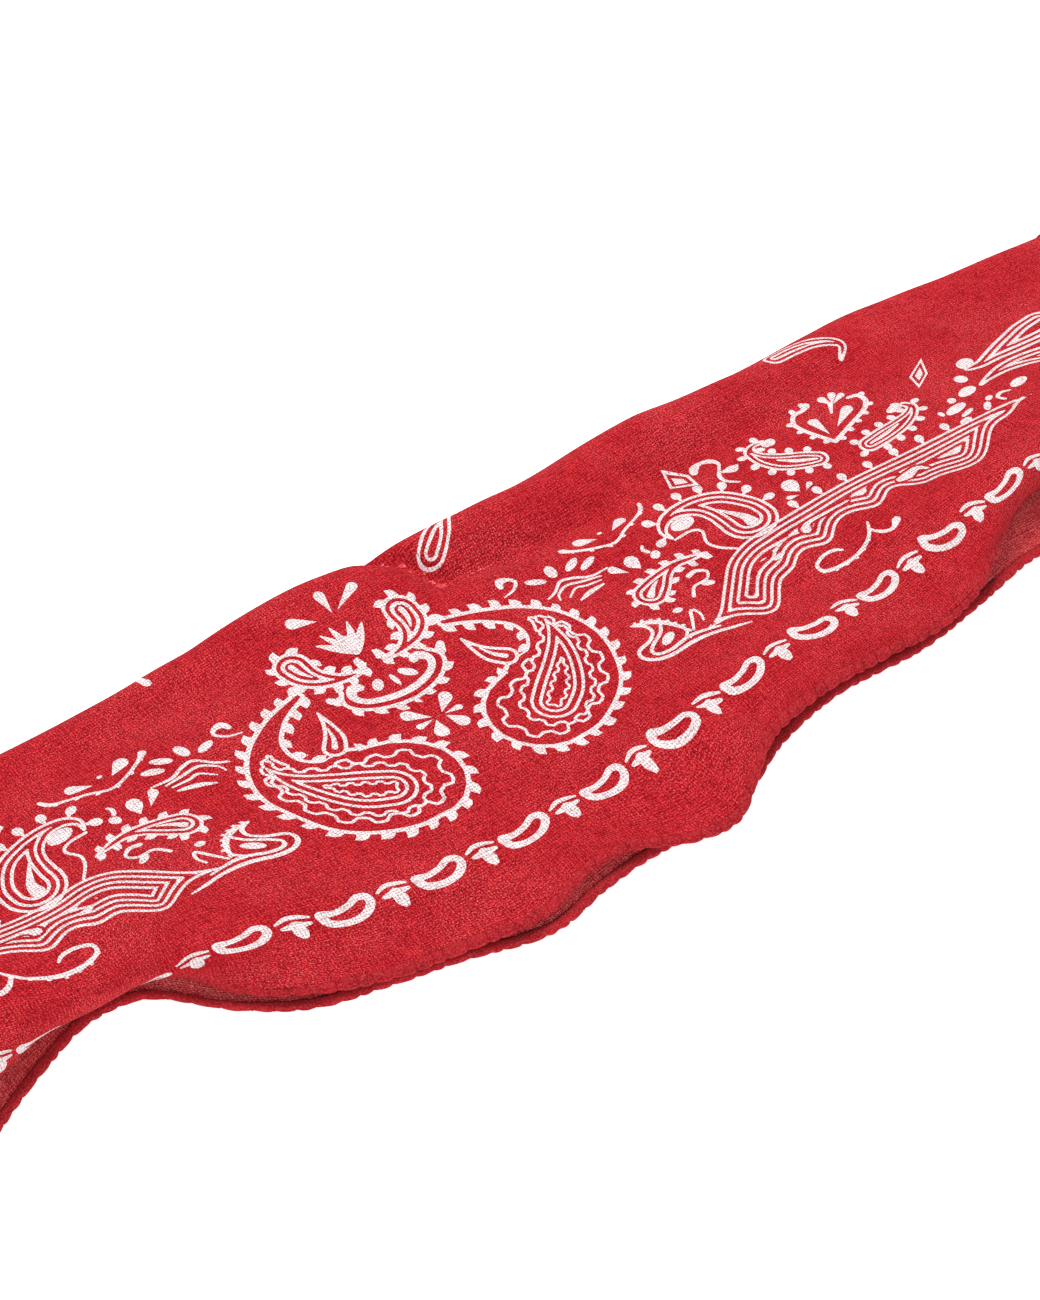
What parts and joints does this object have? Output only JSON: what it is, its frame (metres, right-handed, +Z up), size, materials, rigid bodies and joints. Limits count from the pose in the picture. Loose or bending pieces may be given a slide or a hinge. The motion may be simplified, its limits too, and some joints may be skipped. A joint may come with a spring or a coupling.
{
  "type": "folded paisley bandana scarf",
  "caption": "Square red bandana scarf with rolled hems and a white paisley print, folded in half twice and laid down as a long soft band with its open hems in front.",
  "frame": {"origin": "middle of the folded band from end to end and from front to back, on the surface it lies on", "axes": "+X along the band, +Y from the open hems in front to the back fold, +Z up"},
  "size_m": [0.55, 0.137, 0.0178],
  "materials": {
    "printed_cloth": "open plain weave with a light nap, white print on red",
    "cloth_wrong_side": "back of the open weave, paler, with the print showing through",
    "rolled_hem": "hand-rolled hem, whipped with red thread"
  },
  "bodies": {
    "root": {"top_leaf": "printed_cloth", "second_leaf": "cloth_wrong_side", "folded_core": "cloth_wrong_side", "folded_layers_left": "printed_cloth", "folded_layers_right": "printed_cloth", "front_hem_upper": "rolled_hem", "front_hem_lower": "rolled_hem", "side_hem_left": "rolled_hem", "side_hem_right": "rolled_hem"}
  },
  "joints": []
}
